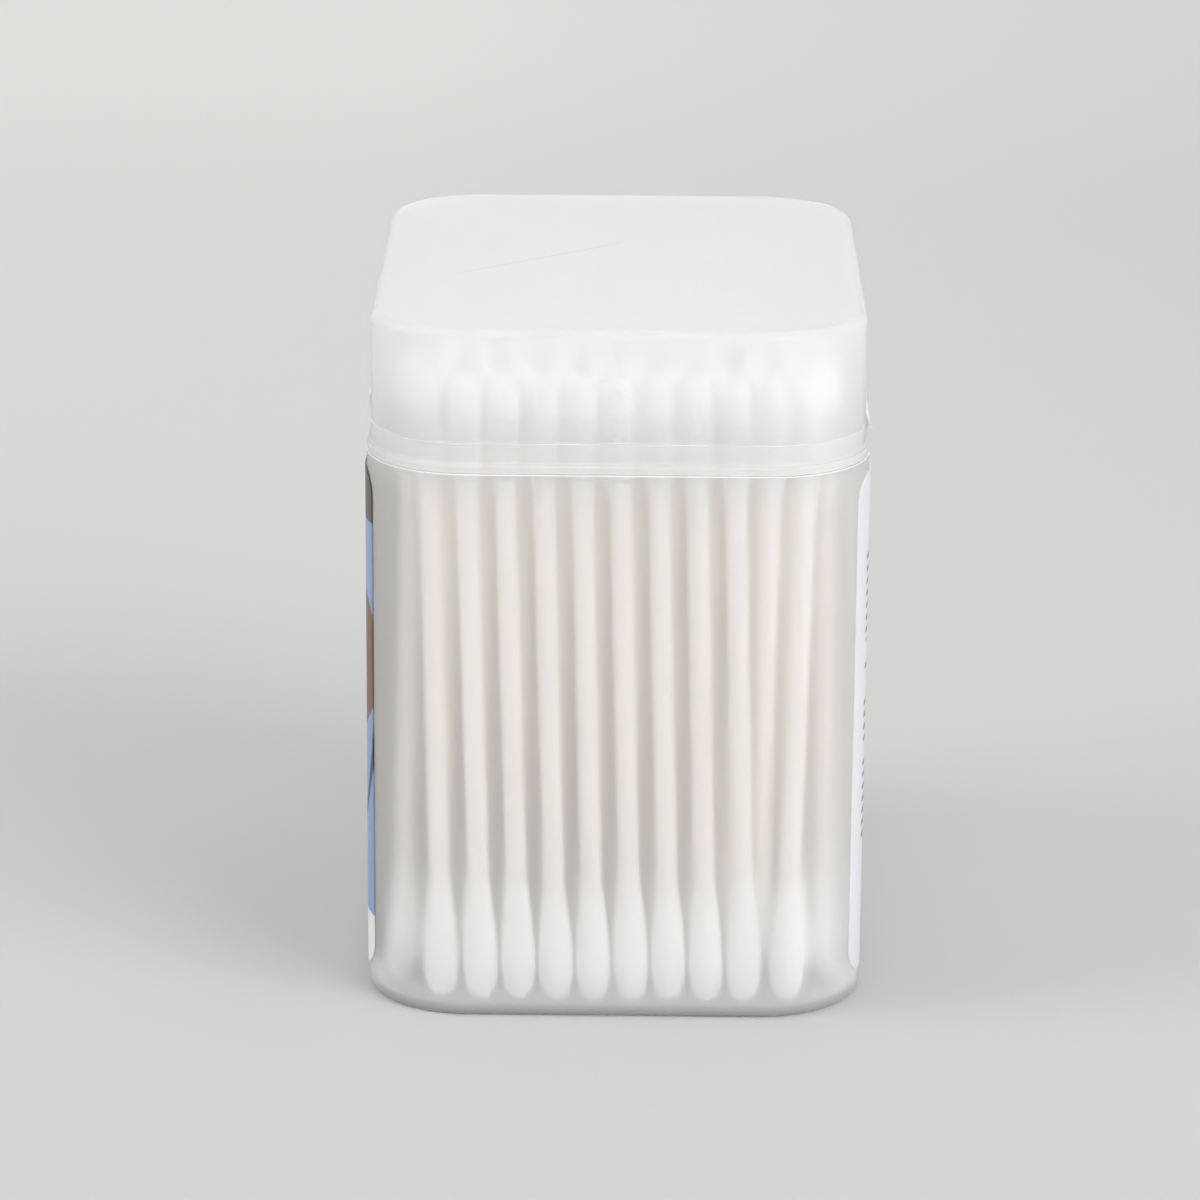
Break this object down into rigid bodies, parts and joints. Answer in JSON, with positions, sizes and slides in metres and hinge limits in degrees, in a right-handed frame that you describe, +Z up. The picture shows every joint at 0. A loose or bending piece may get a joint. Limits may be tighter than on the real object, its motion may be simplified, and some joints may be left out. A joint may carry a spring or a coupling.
{
  "type": "cotton swab tub",
  "caption": "Frosted rounded-rectangle plastic tub with a side-hinged flip lid, full of standing paper-stick cotton swabs, with a plain label on each broad side.",
  "frame": {"origin": "middle of the tub's underside", "axes": "+Z up, +X from the hinge side to the finger lip, +Y along the lid's hinge"},
  "size_m": [0.0574, 0.073, 0.0805],
  "materials": {
    "frosted_tub": "frosted translucent polypropylene, moulded, satin",
    "frosted_ring": "frosted translucent polypropylene, moulded, satin",
    "frosted_lid": "frosted translucent polypropylene, moulded, satin",
    "blue_label": "printed film label, satin, plain fields of blue, grey, brown and white",
    "white_label": "printed film label, satin, near white with a hint of lavender",
    "paper_stick": "tightly rolled cream paper, matt",
    "cotton": "wound cotton wool, matt, slightly fibrous"
  },
  "bodies": {
    "tub": {"tub": "frosted_tub", "hinge_ring": "frosted_ring", "label_front": "blue_label", "label_back": "white_label", "swab_sticks_row_01": "paper_stick", "swab_sticks_row_02": "paper_stick", "swab_sticks_row_03": "paper_stick", "swab_sticks_row_04": "paper_stick", "swab_sticks_row_05": "paper_stick", "swab_sticks_row_06": "paper_stick", "swab_sticks_row_07": "paper_stick", "swab_sticks_row_08": "paper_stick", "swab_sticks_row_09": "paper_stick", "swab_sticks_row_10": "paper_stick", "swab_sticks_row_11": "paper_stick", "swab_sticks_row_12": "paper_stick", "swab_sticks_row_13": "paper_stick", "swab_sticks_row_14": "paper_stick", "swab_sticks_row_15": "paper_stick", "swab_buds_row_01": "cotton", "swab_buds_row_02": "cotton", "swab_buds_row_03": "cotton", "swab_buds_row_04": "cotton", "swab_buds_row_05": "cotton", "swab_buds_row_06": "cotton", "swab_buds_row_07": "cotton", "swab_buds_row_08": "cotton", "swab_buds_row_09": "cotton", "swab_buds_row_10": "cotton", "swab_buds_row_11": "cotton", "swab_buds_row_12": "cotton", "swab_buds_row_13": "cotton", "swab_buds_row_14": "cotton", "swab_buds_row_15": "cotton"},
    "lid": {"lid": "frosted_lid"}
  },
  "joints": [
    {"name": "lid_hinge", "type": "hinge", "parent": "tub", "child": "lid", "pos_m": [-0.0285, 0, 0.06775], "axis": [0, -1, 0], "range_deg": [0, 180]}
  ]
}
